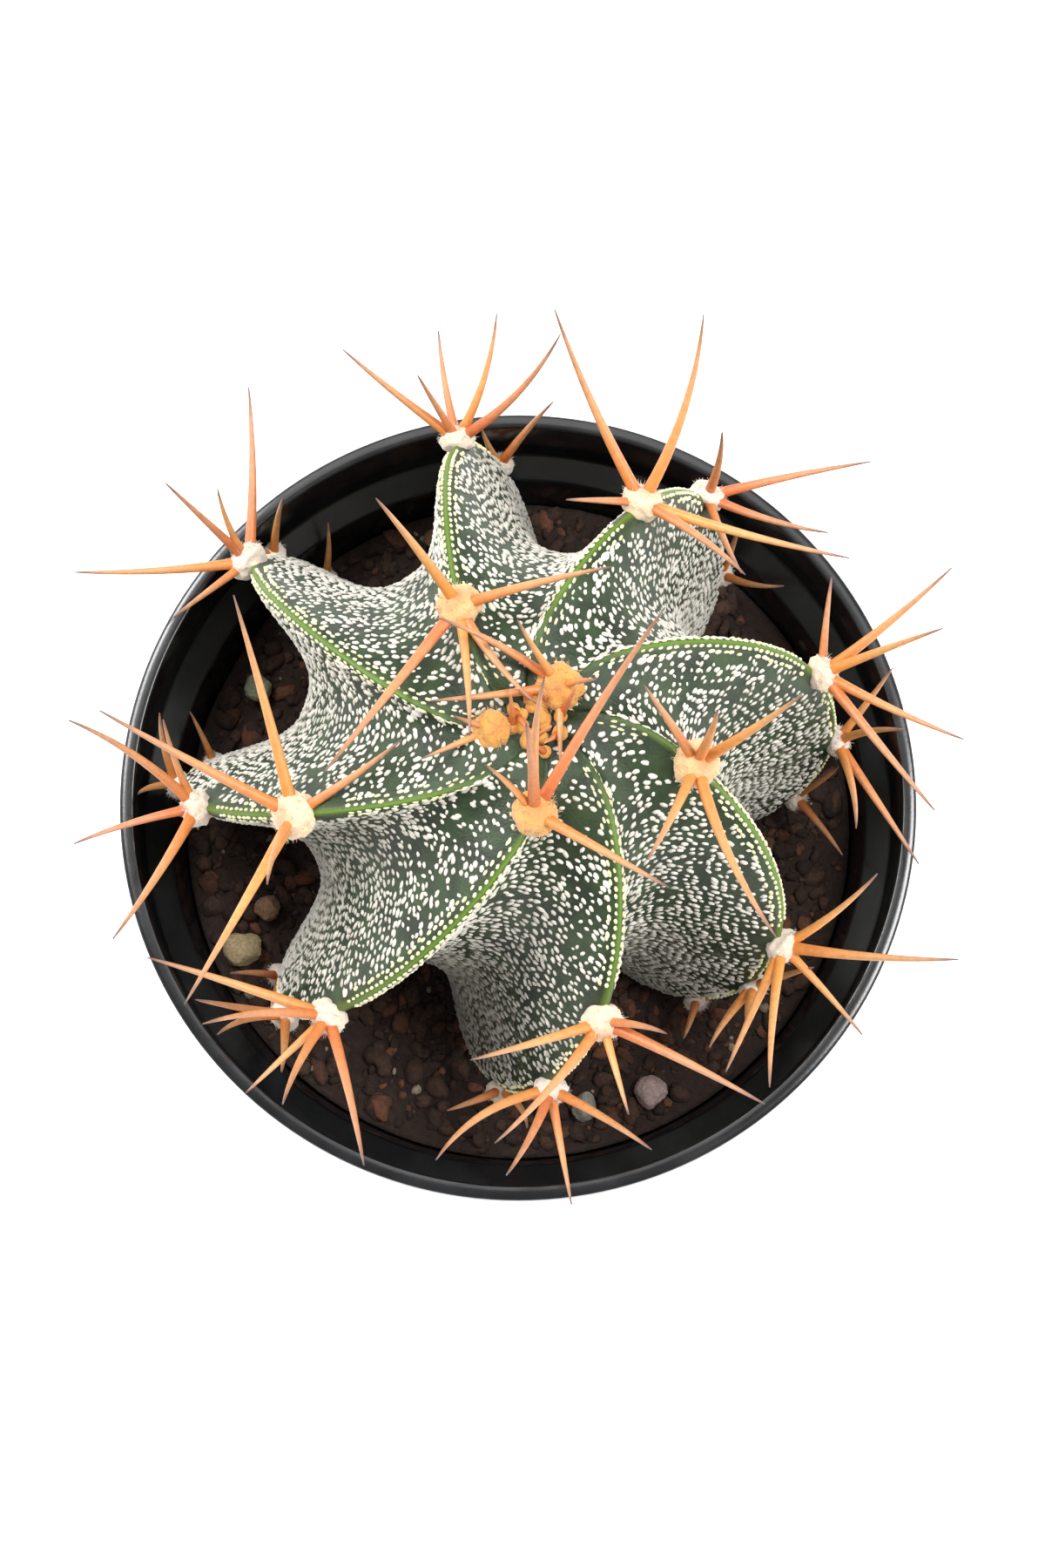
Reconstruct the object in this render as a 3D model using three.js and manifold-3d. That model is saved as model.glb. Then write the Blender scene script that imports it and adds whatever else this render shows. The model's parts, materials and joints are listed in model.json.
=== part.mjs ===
// A young monk's hood cactus (Astrophytum ornatum) in a round black nursery pot.
// Units are millimetres, +Z is up, and the origin is the middle of the pot's foot.
// The stem has eight sharp ribs that turn clockwise on their way down from the woolly
// crown. Woolly areoles with stiff spines stand along the crest of each rib.

import * as THREE from 'three';
import { mergeVertices } from 'three/addons/utils/BufferGeometryUtils.js';
import Module from 'manifold-3d';

const manifoldLibrary = await Module();
manifoldLibrary.setup();

const FULL_TURN = 2 * Math.PI;
const GAP = 0.3; // clearance left between pieces that touch

// The pot: a thin moulded cone with a stepped collar and a thicker lip. The ledge inside
// the step is almost level, and falls by LEDGE_RISE on its way in.
const RIM_HEIGHT = 88;
const RIM_RADIUS = 51;
const LIP_WIDTH = 1.9;
const LIP_DEPTH = 3.6;
const COLLAR_RADIUS = 50.2;
const COLLAR_BOTTOM = 74.5;
const COLLAR_STEP = 3.6;
const LEDGE_RISE = 1;
const FOOT_RADIUS = 36;
const WALL = 1;
const FLOOR_THICKNESS = 1.6;
const POT_SEGMENTS = 56;
const DRAIN_HOLE_COUNT = 6;
const DRAIN_HOLE_RADIUS = 4;
const DRAIN_CIRCLE_RADIUS = 22;

// The potting soil fills the pot to about 21 mm below the rim.
const SOIL_HEIGHT = 67;
const SOIL_CROWN = 1.4;

// The stem, measured along a meridian angle: 0 at the crown, 90 at the widest level.
const RIB_COUNT = 8;
const WIDEST_HEIGHT = RIM_HEIGHT;
const CREST_RADIUS = 42;
const VALLEY_SHARE = 0.64;
const UPPER_HEIGHT = 40;
const LOWER_HEIGHT = 32;
const UPPER_FULLNESS = 0.76;
const LOWER_FULLNESS = 0.92;
const SOIL_MERIDIAN = 131;
const CROWN_HOLLOW = 3;
const CROWN_HOLLOW_REACH = 14;
const FLANK_SHAPE = 3.7;
const CREST_SOFTNESS = 0.15;
const ROOT_DEPTH = 24;
const FIRST_RIB_BEARING = 120;
const CROWN_SWIRL = 37;
const CROWN_SWIRL_REACH = 11.7;
const BODY_SWIRL = 0.285;
const STEM_SEGMENTS_PER_RIB = 8;
const STEM_RINGS = 34;
const BURIED_SHARE = 0.18;

// The stem stands a little off the pot's middle and leans back towards it at the crown.
const STEM_BASE = new THREE.Vector2(-2.5, 4.8);
const STEM_LEAN = new THREE.Vector2(5.0, -2.15);
const LEAN_HEIGHT = 60;

// Areoles: a flat woolly cushion on the crest, and stiff tapered spines out of it.
const WOOL_RADIUS = 3.1;
const WOOL_THICKNESS = 1.7;
const SPINE_BASE_RADIUS = 0.95;
const SPINE_TIP_RADIUS = 0.12;
const SPINE_BEND = 0.07;
const SPINE_SIDES = 4;
const SPINE_STEPS = 2;

// The areoles of each rib in order from the crown down. An areole is its meridian angle,
// the size of its wool, and its spines as [bearing, lift above level, length].
const RIBS = [
  [
    [17, 1.15, [[140, 55, 24], [5, 35, 22], [235, 12, 28], [275, 20, 18], [305, 15, 17]]],
    [69, 0.95, [[150, 30, 20], [135, 55, 14], [70, 30, 17], [35, 40, 22], [100, 5, 14]]],
    [103, 0.8, [[165, 78, 16], [30, 62, 18]]],
  ],
  [
    [42, 1.1, [[120, 35, 28], [70, 35, 25], [315, 30, 20], [340, 15, 27], [190, 35, 12]]],
    [76, 1.0, [[75, 75, 18], [10, 5, 21], [335, 25, 18], [285, 40, 18]]],
    [110, 0.8, [[330, 45, 14], [60, 70, 14]]],
  ],
  [
    [3.5, 1.25, [[155, 22, 17], [130, 50, 12], [190, 12, 16], [345, 65, 10], [270, 8, 10]]],
    [60, 1.0, [[35, 35, 22], [10, 42, 20], [330, 15, 20], [305, 10, 23], [85, 20, 12]]],
    [90, 0.9, [[350, 62, 16], [300, 15, 20], [275, 40, 18], [50, 40, 14]]],
    [115, 0.8, [[300, 35, 14], [20, 60, 13]]],
  ],
  [
    [21, 1.25, [[140, 60, 20], [60, 75, 20], [20, 55, 24], [245, 35, 20], [290, 25, 27]]],
    [74, 1.0, [[350, 35, 25], [262, 32, 22], [245, 22, 20], [35, 30, 16], [310, 10, 15]]],
    [94, 0.85, [[235, 45, 18], [255, 60, 18], [5, 62, 17]]],
    [116, 0.8, [[250, 55, 13], [20, 45, 10]]],
  ],
  [
    [53, 1.1, [[200, 30, 20], [230, 25, 22], [340, 50, 14], [330, 25, 24], [285, 10, 12]]],
    [81, 0.95, [[215, 35, 22], [245, 50, 20], [325, 40, 20], [280, 8, 15]]],
    [106, 0.8, [[210, 60, 16], [300, 60, 15]]],
  ],
  [
    [10, 1.2, [[325, 32, 22], [85, 60, 26], [55, 28, 30], [100, 68, 24], [145, 55, 12]]],
    [69, 1.05, [[165, 25, 25], [190, 40, 20], [250, 45, 20], [285, 35, 24], [225, 8, 14]]],
    [92, 0.9, [[180, 60, 20], [210, 60, 18], [275, 55, 18]]],
    [116, 0.8, [[190, 60, 13], [265, 60, 13]]],
  ],
  [
    [39, 1.25, [[105, 32, 29], [155, 25, 27], [245, 25, 30], [258, 48, 16], [30, 25, 17]]],
    [68, 1.0, [[150, 40, 22], [245, 32, 24], [110, 35, 13], [200, 12, 16]]],
    [97, 0.8, [[100, 60, 14], [225, 62, 14]]],
    [118, 0.8, [[115, 48, 10], [225, 48, 10]]],
  ],
  [
    [4, 1.0, [[205, 8, 9], [170, 40, 6]]],
    [77, 1.1, [[90, 10, 22], [145, 48, 18], [115, 50, 12], [185, 5, 22], [225, 22, 14]]],
    [101, 0.8, [[60, 68, 16], [200, 66, 14]]],
    [122, 0.8, [[80, 62, 12], [180, 62, 12]]],
  ],
];

// Stones lying on the soil: [bearing, distance from the pot's middle, size, colour].
const STONES = [
  ['tan_pumice_stone', 205, 40.2, 2.6, 0xa08c6c],
  ['brown_pumice_stone', 199, 35.2, 2.0, 0x7c6248],
  ['pink_grit_stone', 296, 39.6, 2.4, 0x9a8482],
  ['grey_grit_stone', 283, 38.6, 1.9, 0x7d7b74],
  ['red_lava_stone', 14, 40.2, 2.2, 0x7a4632],
  ['small_lava_stone', 62, 40.6, 1.7, 0x6a4636],
  ['green_grit_stone', 152, 39.6, 2.0, 0x6f705c],
  ['dark_bark_chip', 106, 40.4, 1.8, 0x4b372b],
];

const radians = THREE.MathUtils.degToRad;

// Drops everything but position and merges shared corners, as one closed surface.
function closedSurface(geometry) {
  const bare = geometry.clone();
  bare.deleteAttribute('normal');
  bare.deleteAttribute('uv');
  return mergeVertices(bare, 1e-5);
}

function toSolid(geometry) {
  const surface = closedSurface(geometry);
  return new manifoldLibrary.Manifold(new manifoldLibrary.Mesh({
    numProp: 3,
    vertProperties: new Float32Array(surface.attributes.position.array),
    triVerts: new Uint32Array(surface.index.array),
  }));
}

function toGeometry(solid) {
  const mesh = solid.getMesh();
  const geometry = new THREE.BufferGeometry();
  geometry.setAttribute('position', new THREE.BufferAttribute(mesh.vertProperties, 3));
  geometry.setIndex(new THREE.BufferAttribute(mesh.triVerts, 1));
  geometry.computeVertexNormals();
  return geometry;
}

function finish(color, roughness) {
  return new THREE.MeshStandardMaterial({ color, roughness, metalness: 0 });
}

function namedMesh(name, geometry, material) {
  const mesh = new THREE.Mesh(geometry, material);
  mesh.name = name;
  return mesh;
}

// A closed profile of [radius, height] points turned about the Z axis.
function turned(profile, segments) {
  const points = profile.map(([radius, height]) => new THREE.Vector2(radius, height));
  return new THREE.LatheGeometry(points, segments).rotateX(Math.PI / 2);
}

// --- Pot -----------------------------------------------------------------------------

function potOuterRadius(height) {
  const taper = (COLLAR_RADIUS - COLLAR_STEP - FOOT_RADIUS) / COLLAR_BOTTOM;
  return FOOT_RADIUS + taper * height;
}

function potInnerRadius(height) {
  return potOuterRadius(height) - WALL;
}

function potProfile() {
  const collarInner = RIM_RADIUS - LIP_WIDTH;
  return [
    [0, 0],
    [FOOT_RADIUS - 0.8, 0],
    [FOOT_RADIUS, 0.8],
    [potOuterRadius(COLLAR_BOTTOM - 1.4), COLLAR_BOTTOM - 1.4],
    [COLLAR_RADIUS - 0.4, COLLAR_BOTTOM],
    [COLLAR_RADIUS, RIM_HEIGHT - LIP_DEPTH - 0.8],
    [RIM_RADIUS, RIM_HEIGHT - LIP_DEPTH],
    [RIM_RADIUS, RIM_HEIGHT - 0.8],
    [RIM_RADIUS - 0.8, RIM_HEIGHT],
    [collarInner + 0.6, RIM_HEIGHT],
    [collarInner, RIM_HEIGHT - 0.8],
    [collarInner, COLLAR_BOTTOM + LEDGE_RISE],
    [potInnerRadius(COLLAR_BOTTOM), COLLAR_BOTTOM],
    [potInnerRadius(FLOOR_THICKNESS + 0.8), FLOOR_THICKNESS + 0.8],
    [potInnerRadius(FLOOR_THICKNESS) - 1, FLOOR_THICKNESS],
    [0, FLOOR_THICKNESS],
  ];
}

function buildPot() {
  let pot = toSolid(turned(potProfile(), POT_SEGMENTS));
  for (let hole = 0; hole < DRAIN_HOLE_COUNT; hole += 1) {
    const angle = (hole / DRAIN_HOLE_COUNT) * FULL_TURN;
    const drill = new THREE.CylinderGeometry(DRAIN_HOLE_RADIUS, DRAIN_HOLE_RADIUS, 8, 16);
    drill.rotateX(Math.PI / 2);
    drill.translate(
      DRAIN_CIRCLE_RADIUS * Math.cos(angle),
      DRAIN_CIRCLE_RADIUS * Math.sin(angle),
      0,
    );
    pot = pot.subtract(toSolid(drill));
  }
  return namedMesh('nursery_pot', toGeometry(pot), finish(0x16171a, 0.32));
}

// --- Stem ----------------------------------------------------------------------------

function stemAxis(height) {
  const soilToCrown = (height - (WIDEST_HEIGHT - 20)) / LEAN_HEIGHT;
  const share = THREE.MathUtils.clamp(soilToCrown, 0, 1.1) ** 1.5;
  return STEM_BASE.clone().addScaledVector(STEM_LEAN, share);
}

function crestRadius(meridian) {
  const fullness = meridian < 90 ? UPPER_FULLNESS : LOWER_FULLNESS;
  return CREST_RADIUS * Math.sin(radians(meridian)) ** fullness;
}

function crestHeight(meridian) {
  const reach = meridian < 90 ? UPPER_HEIGHT : LOWER_HEIGHT;
  return WIDEST_HEIGHT + reach * Math.cos(radians(meridian));
}

function ribBearing(rib, meridian) {
  const swirl = CROWN_SWIRL * Math.exp(-meridian / CROWN_SWIRL_REACH) - BODY_SWIRL * meridian;
  return radians(FIRST_RIB_BEARING - (360 / RIB_COUNT) * rib + swirl);
}

// How far a point between two ribs has sunk from the crest (0) to the valley (1).
// The offset runs from -0.5 in one valley, through 0 on the crest, to 0.5 in the next.
function flankDepth(offset) {
  const away = Math.abs(offset) * 2;
  const rounded = Math.sqrt(away * away + CREST_SOFTNESS ** 2) - CREST_SOFTNESS;
  return 1 - (1 - Math.min(rounded, 1)) ** FLANK_SHAPE;
}

// A point of the stem's skin. Turn counts ribs round the stem, and grow moves the skin
// outwards, which makes the pocket in the soil and the clearance under the areoles.
function stemPoint(turn, level, grow) {
  const aboveGround = 1 - BURIED_SHARE;
  const meridian = Math.min(level / aboveGround, 1) * SOIL_MERIDIAN;
  const buried = Math.max(level - aboveGround, 0) / BURIED_SHARE;
  const rib = Math.floor(turn + 0.5);
  const depth = flankDepth(turn - rib);
  const taper = Math.cos(buried * Math.PI / 2) ** 0.8;
  const crest = crestRadius(Math.max(meridian, 0.001)) * taper;
  const radius = crest * (1 - depth * (1 - VALLEY_SHARE));
  const hollow = CROWN_HOLLOW * Math.max(1 - meridian / CROWN_HOLLOW_REACH, 0) ** 2;
  const bearing = ribBearing(turn, meridian);
  let height = crestHeight(meridian) - hollow;
  height -= ROOT_DEPTH * Math.sin(buried * Math.PI / 2);
  const facing = buried > 0 ? -1 : Math.cos(radians(meridian));
  const grownRadius = level > 0 && level < 1 ? radius + grow : 0;
  const axis = stemAxis(height);
  return new THREE.Vector3(
    axis.x + grownRadius * Math.cos(bearing),
    axis.y + grownRadius * Math.sin(bearing),
    height + grow * facing,
  );
}

// The skin starts as a unit sphere, whose rows and columns are moved onto the stem.
function stemGeometry(grow) {
  const columns = RIB_COUNT * STEM_SEGMENTS_PER_RIB;
  const geometry = new THREE.SphereGeometry(1, columns, STEM_RINGS);
  const positions = geometry.attributes.position;
  for (let row = 0; row <= STEM_RINGS; row += 1) {
    for (let column = 0; column <= columns; column += 1) {
      const turn = -(column % columns) / STEM_SEGMENTS_PER_RIB;
      const atPole = row === 0 || row === STEM_RINGS;
      const point = stemPoint(atPole ? 0 : turn, row / STEM_RINGS, grow);
      positions.setXYZ(row * (columns + 1) + column, point.x, point.y, point.z);
    }
  }
  return geometry;
}

function buildStem() {
  return namedMesh('cactus_stem', toGeometry(toSolid(stemGeometry(0))), finish(0x4a5d40, 0.62));
}

// --- Soil ----------------------------------------------------------------------------

function buildSoil() {
  const floor = FLOOR_THICKNESS + GAP;
  const edge = potInnerRadius(SOIL_HEIGHT) - GAP;
  const fill = turned([
    [0, floor],
    [potInnerRadius(floor) - 1 - GAP, floor],
    [potInnerRadius(floor + 1) - GAP, floor + 1],
    [edge, SOIL_HEIGHT - 0.6],
    [edge - 1, SOIL_HEIGHT],
    [edge * 0.7, SOIL_HEIGHT + SOIL_CROWN * 0.7],
    [edge * 0.4, SOIL_HEIGHT + SOIL_CROWN],
    [0, SOIL_HEIGHT + SOIL_CROWN],
  ], POT_SEGMENTS);
  const pocket = toSolid(stemGeometry(GAP + 0.1));
  return namedMesh('potting_soil', toGeometry(toSolid(fill).subtract(pocket)), finish(0x2b1f19, 0.95));
}

function soilSurfaceHeight(distance) {
  const edge = potInnerRadius(SOIL_HEIGHT) - GAP;
  const inward = THREE.MathUtils.clamp((edge - distance) / (edge * 0.6), 0, 1);
  return SOIL_HEIGHT + SOIL_CROWN * inward * 1.6;
}

// --- Stones --------------------------------------------------------------------------

function buildStone([name, bearing, distance, size, color], order) {
  const geometry = closedSurface(new THREE.IcosahedronGeometry(size, 1));
  const positions = geometry.attributes.position;
  const corner = new THREE.Vector3();
  for (let i = 0; i < positions.count; i += 1) {
    corner.fromBufferAttribute(positions, i);
    const lump = 1 + 0.13 * Math.sin(corner.x * 1.7 + order) * Math.cos(corner.y * 1.3 - order);
    corner.multiplyScalar(lump).multiply(new THREE.Vector3(1, 0.85, 0.7));
    positions.setXYZ(i, corner.x, corner.y, corner.z);
  }
  geometry.computeBoundingBox();
  geometry.translate(0, 0, -geometry.boundingBox.min.z);
  geometry.computeVertexNormals();
  const stone = namedMesh(name, geometry, finish(color, 0.9));
  const angle = radians(bearing);
  stone.rotation.z = angle + order;
  stone.position.set(
    distance * Math.cos(angle),
    distance * Math.sin(angle),
    soilSurfaceHeight(distance - size) + GAP,
  );
  return stone;
}

// --- Areoles -------------------------------------------------------------------------

// Unit vector from a compass-like bearing in the level plane and a lift above it.
function direction(bearing, lift) {
  const level = Math.cos(lift);
  return new THREE.Vector3(level * Math.cos(bearing), level * Math.sin(bearing), Math.sin(lift));
}

// One spine: a slim cone from the wool outwards, whose tip bends gently upwards.
function spineGeometry(root, bearing, lift, length) {
  const baseRadius = SPINE_BASE_RADIUS * Math.min(1, 0.55 + length / 55);
  const cone = new THREE.CylinderGeometry(
    SPINE_TIP_RADIUS,
    baseRadius,
    length,
    SPINE_SIDES,
    SPINE_STEPS,
  );
  cone.translate(0, length / 2, 0);
  const positions = cone.attributes.position;
  for (let i = 0; i < positions.count; i += 1) {
    const share = positions.getY(i) / length;
    positions.setZ(i, positions.getZ(i) + SPINE_BEND * length * share * share);
  }
  const along = direction(radians(bearing), radians(lift));
  const side = new THREE.Vector3().crossVectors(along, new THREE.Vector3(0, 0, 1)).normalize();
  const up = new THREE.Vector3().crossVectors(side, along);
  cone.applyMatrix4(new THREE.Matrix4().makeBasis(side, along, up).setPosition(root));
  return cone;
}

function woolGeometry(root, outward, alongRib, size) {
  const wool = new THREE.SphereGeometry(1, 8, 6);
  wool.scale(WOOL_RADIUS * size, WOOL_RADIUS * size * 0.85, WOOL_THICKNESS * size);
  const side = new THREE.Vector3().crossVectors(alongRib, outward).normalize();
  const along = new THREE.Vector3().crossVectors(outward, side);
  wool.applyMatrix4(new THREE.Matrix4().makeBasis(side, along, outward).setPosition(root));
  return wool;
}

function crestPoint(rib, meridian) {
  const level = (meridian / SOIL_MERIDIAN) * (1 - BURIED_SHARE);
  return stemPoint(rib, level, 0);
}

function buildAreole(rib, place, [meridian, wool, spines], clearance) {
  const point = crestPoint(rib, meridian);
  const alongRib = crestPoint(rib, meridian + 2).sub(crestPoint(rib, meridian - 2)).normalize();
  const outward = direction(ribBearing(rib, meridian), radians(90 - meridian));
  outward.addScaledVector(alongRib, -outward.dot(alongRib)).normalize();
  const root = point.clone().addScaledVector(outward, 0.5);
  let cluster = toSolid(woolGeometry(root, outward, alongRib, wool));
  for (const [bearing, lift, length] of spines) {
    cluster = cluster.add(toSolid(spineGeometry(root, bearing, lift, length)));
  }
  const clear = cluster.subtract(clearance);
  return namedMesh(`spine_cluster_rib${rib + 1}_${place + 1}`, toGeometry(clear), finish(0xd98f52, 0.5));
}

function buildAreoles() {
  const clearance = toSolid(stemGeometry(GAP));
  const clusters = new THREE.Group();
  RIBS.forEach((areoles, rib) => {
    areoles.forEach((areole, place) => clusters.add(buildAreole(rib, place, areole, clearance)));
  });
  return clusters;
}

// --- Assembly ------------------------------------------------------------------------

const pottedCactus = new THREE.Group();
pottedCactus.add(buildPot());
pottedCactus.add(buildSoil());
pottedCactus.add(buildStem());
STONES.forEach((stone, order) => pottedCactus.add(buildStone(stone, order)));
pottedCactus.add(buildAreoles());

export default pottedCactus;
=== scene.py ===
"""A young monk's hood cactus (Astrophytum ornatum) growing in a black nursery pot.

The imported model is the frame, and this script gives each piece its fine shape and finish.
Lengths are metres, +Z is up, and the origin is the middle of the pot's flat underside.
Along the stem a place is a turn, counted in ribs round it, and a meridian angle in
degrees: 0 at the crown, 90 at the widest level, and 131 where the stem meets the soil.
"""

import json
import logging
import math
from dataclasses import dataclass, field
from enum import Enum

import bmesh
import bpy
import numpy as np
from mathutils import Matrix, Vector, noise

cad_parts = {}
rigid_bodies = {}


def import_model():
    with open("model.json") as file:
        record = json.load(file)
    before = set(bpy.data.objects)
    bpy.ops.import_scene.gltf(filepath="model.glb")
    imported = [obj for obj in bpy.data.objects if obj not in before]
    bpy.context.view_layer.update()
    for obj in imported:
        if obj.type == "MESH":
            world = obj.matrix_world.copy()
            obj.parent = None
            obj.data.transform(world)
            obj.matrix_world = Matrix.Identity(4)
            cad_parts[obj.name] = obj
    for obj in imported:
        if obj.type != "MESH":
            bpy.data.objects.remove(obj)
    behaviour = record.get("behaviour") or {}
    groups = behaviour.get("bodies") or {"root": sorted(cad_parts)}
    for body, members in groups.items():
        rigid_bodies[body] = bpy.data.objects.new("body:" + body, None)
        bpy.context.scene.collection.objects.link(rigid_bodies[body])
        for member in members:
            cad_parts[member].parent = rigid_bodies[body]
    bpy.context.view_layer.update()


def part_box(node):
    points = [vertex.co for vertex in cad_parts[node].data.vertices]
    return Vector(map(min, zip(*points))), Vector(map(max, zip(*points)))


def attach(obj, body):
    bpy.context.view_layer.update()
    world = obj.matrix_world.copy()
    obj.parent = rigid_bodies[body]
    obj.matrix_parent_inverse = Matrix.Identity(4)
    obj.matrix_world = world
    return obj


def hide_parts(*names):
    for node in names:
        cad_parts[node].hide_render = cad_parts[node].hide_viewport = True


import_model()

MM = 0.001
BODY = "root"
LOG = logging.getLogger("potted_cactus")


class Slot(Enum):
    """The record's material slot names; the new pieces here make their own finishes and don't use them."""

    POT = "pot_plastic"
    SOIL = "potting_mix"
    SKIN = "cactus_skin"
    SPINES = "spines_and_wool"
    BARK = "bark"
    PUMICE = "tan_pumice"


# --- Shared tools --------------------------------------------------------------------


def linear(hex_colour: str) -> tuple[float, float, float, float]:
    """Turns an sRGB hex colour to the linear colour that shaders read.

    Args:
        hex_colour: Six hex digits, such as "a0b0c0".

    Returns:
        Linear red, green and blue, and an alpha of 1.
    """
    channels = [int(hex_colour[i:i + 2], 16) / 255 for i in (0, 2, 4)]
    lit = [c / 12.92 if c <= 0.04045 else ((c + 0.055) / 1.055) ** 2.4 for c in channels]
    return (lit[0], lit[1], lit[2], 1.0)


def add_node(
    material: bpy.types.Material,
    kind: str,
    inputs: dict | None = None,
    stops: dict[float, str] | None = None,
    **settings: object,
) -> bpy.types.Node:
    """Adds one shader node with its settings and links.

    Args:
        material: The material whose tree the node joins.
        kind: The node's type name.
        inputs: Input name or number to a value, or to the socket that feeds it.
        stops: For a colour ramp, position to hex colour.
        settings: The node's own properties.

    Returns:
        The new node.
    """
    tree = material.node_tree
    made = tree.nodes.new(kind)
    for name, value in settings.items():
        setattr(made, name, value)
    for key, value in (inputs or {}).items():
        if isinstance(value, bpy.types.NodeSocket):
            tree.links.new(value, made.inputs[key])
        else:
            made.inputs[key].default_value = value
    if stops:
        elements = made.color_ramp.elements
        while len(elements) < len(stops):
            elements.new(0.5)
        for element, (position, colour) in zip(elements, sorted(stops.items())):
            element.position = position
            element.color = linear(colour)
    return made


def new_material(name: str) -> tuple[bpy.types.Material, bpy.types.Node]:
    """Starts a material that holds only its surface shader.

    Args:
        name: The real material's name.

    Returns:
        The material and its Principled shader.
    """
    material = bpy.data.materials.new(name)
    material.use_nodes = True
    return material, material.node_tree.nodes["Principled BSDF"]


def link(
    material: bpy.types.Material, source: bpy.types.NodeSocket, shader: bpy.types.Node, name: str,
) -> None:
    """Feeds one socket of the surface shader.

    Args:
        material: The material that holds both nodes.
        source: The socket that the value comes from.
        shader: The surface shader.
        name: The name of the shader's socket.
    """
    material.node_tree.links.new(source, shader.inputs[name])


def finished_piece(
    name: str,
    mesh: bpy.types.Mesh,
    material: bpy.types.Material,
    replaced: list[str] | None = None,
) -> bpy.types.Object:
    """Makes a mesh a finished piece that rides on the object's one body.

    Args:
        name: The piece's name.
        mesh: Its mesh, already in place.
        material: Its finish.
        replaced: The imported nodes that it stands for.

    Returns:
        The new object.
    """
    piece = bpy.data.objects.new(name, mesh)
    bpy.context.scene.collection.objects.link(piece)
    mesh.materials.clear()
    mesh.materials.append(material)
    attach(piece, BODY)
    if replaced:
        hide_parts(*replaced)
    LOG.info("%s: %d faces", name, len(mesh.polygons))
    return piece


def mesh_of(shape: bmesh.types.BMesh, name: str, smooth: bool = True) -> bpy.types.Mesh:
    """Writes a bmesh to a new mesh and frees it.

    Args:
        shape: The finished shape.
        name: The mesh's name.
        smooth: Whether its faces are shaded smooth.

    Returns:
        The new mesh.
    """
    mesh = bpy.data.meshes.new(name)
    shape.to_mesh(mesh)
    shape.free()
    if smooth:
        mesh.shade_smooth()
    return mesh


def coordinates(mesh: bpy.types.Mesh) -> np.ndarray:
    """The mesh's corner points as an array with one row each."""
    points = np.empty(len(mesh.vertices) * 3, np.float32)
    mesh.vertices.foreach_get("co", points)
    return points.reshape(-1, 3).astype(float)


def move_corners(mesh: bpy.types.Mesh, points: np.ndarray) -> None:
    """Puts the mesh's corner points in new places."""
    mesh.vertices.foreach_set("co", points.astype(np.float32).ravel())
    mesh.update()


def add_attribute(mesh: bpy.types.Mesh, name: str, values: np.ndarray) -> None:
    """Gives each corner point of the mesh a number that its material can read."""
    attribute = mesh.attributes.new(name, "FLOAT", "POINT")
    attribute.data.foreach_set("value", values.astype(np.float32))


def unit(vectors: np.ndarray) -> np.ndarray:
    """The vectors, one in each row, at a length of 1."""
    return vectors / np.maximum(np.linalg.norm(vectors, axis=-1, keepdims=True), 1e-12)


def direction(level: float, rise: float) -> Vector:
    """The direction at a bearing from +X and an angle above level, both in radians."""
    return Vector((math.cos(rise) * math.cos(level), math.cos(rise) * math.sin(level), math.sin(rise)))


def lumps(points: np.ndarray, size: float, shift: float = 0.0) -> np.ndarray:
    """Smooth noise at each point.

    Args:
        points: The points, one in each row.
        size: How far apart the lumps are.
        shift: Moves the pattern, so that two pieces differ.

    Returns:
        A number from about -1 to 1 for each point.
    """
    offset = Vector((shift, -shift, shift * 0.5))
    return np.array([noise.noise(Vector(p) / size + offset) for p in points])


class Swarm:
    """Many copies of one small shape, gathered in one mesh."""

    def __init__(self, shape: bmesh.types.BMesh) -> None:
        """Keeps the small shape's corners and faces, and frees the bmesh."""
        shape.verts.index_update()
        self.corners = np.array([v.co[:] for v in shape.verts])
        self.face_sizes = np.array([len(f.verts) for f in shape.faces])
        self.face_corners = np.array([v.index for f in shape.faces for v in f.verts])
        shape.free()
        self.placed: list[np.ndarray] = []
        self.tints: list[np.ndarray] = []

    def add(self, points: np.ndarray, tint: float | np.ndarray) -> None:
        """Adds one copy whose corners are at the points, with one tint or one for each."""
        self.placed.append(points)
        self.tints.append(np.broadcast_to(tint, len(points)))

    def add_turned(
        self, axes: np.ndarray, places: np.ndarray, tints: np.ndarray, uneven: float, seed: int,
    ) -> None:
        """Adds a copy at each place, no two quite the same shape.

        Args:
            axes: For each copy, three rows: where the shape's X, Y and Z axes go.
            places: Each copy's centre.
            tints: Each copy's tint.
            uneven: How far a corner may move in or out, as a share.
            seed: Sets the random draws.
        """
        chance = np.random.default_rng(seed)
        swell = 1 + chance.uniform(-uneven, uneven, (len(places), len(self.corners), 1))
        turned = np.einsum("ck,nkj->ncj", self.corners, axes) * swell + places[:, None, :]
        self.placed.extend(turned)
        self.tints.extend(np.repeat(tints[:, None], len(self.corners), axis=1))

    def mesh(self, name: str) -> bpy.types.Mesh:
        """Writes all the copies to one mesh with a tint attribute.

        Args:
            name: The mesh's name.

        Returns:
            The new mesh.
        """
        copies = len(self.placed)
        points = np.concatenate(self.placed)
        starts = np.arange(copies)[:, None] * len(self.corners)
        loops = (starts + self.face_corners[None, :]).ravel()
        sizes = np.tile(self.face_sizes, copies)
        mesh = bpy.data.meshes.new(name)
        mesh.vertices.add(len(points))
        mesh.loops.add(len(loops))
        mesh.polygons.add(len(sizes))
        mesh.vertices.foreach_set("co", points.astype(np.float32).ravel())
        mesh.loops.foreach_set("vertex_index", loops.astype(np.int32))
        mesh.polygons.foreach_set("loop_start", (np.cumsum(sizes) - sizes).astype(np.int32))
        mesh.update(calc_edges=True)
        mesh.shade_smooth()
        add_attribute(mesh, "tint", np.concatenate(self.tints))
        return mesh


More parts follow.
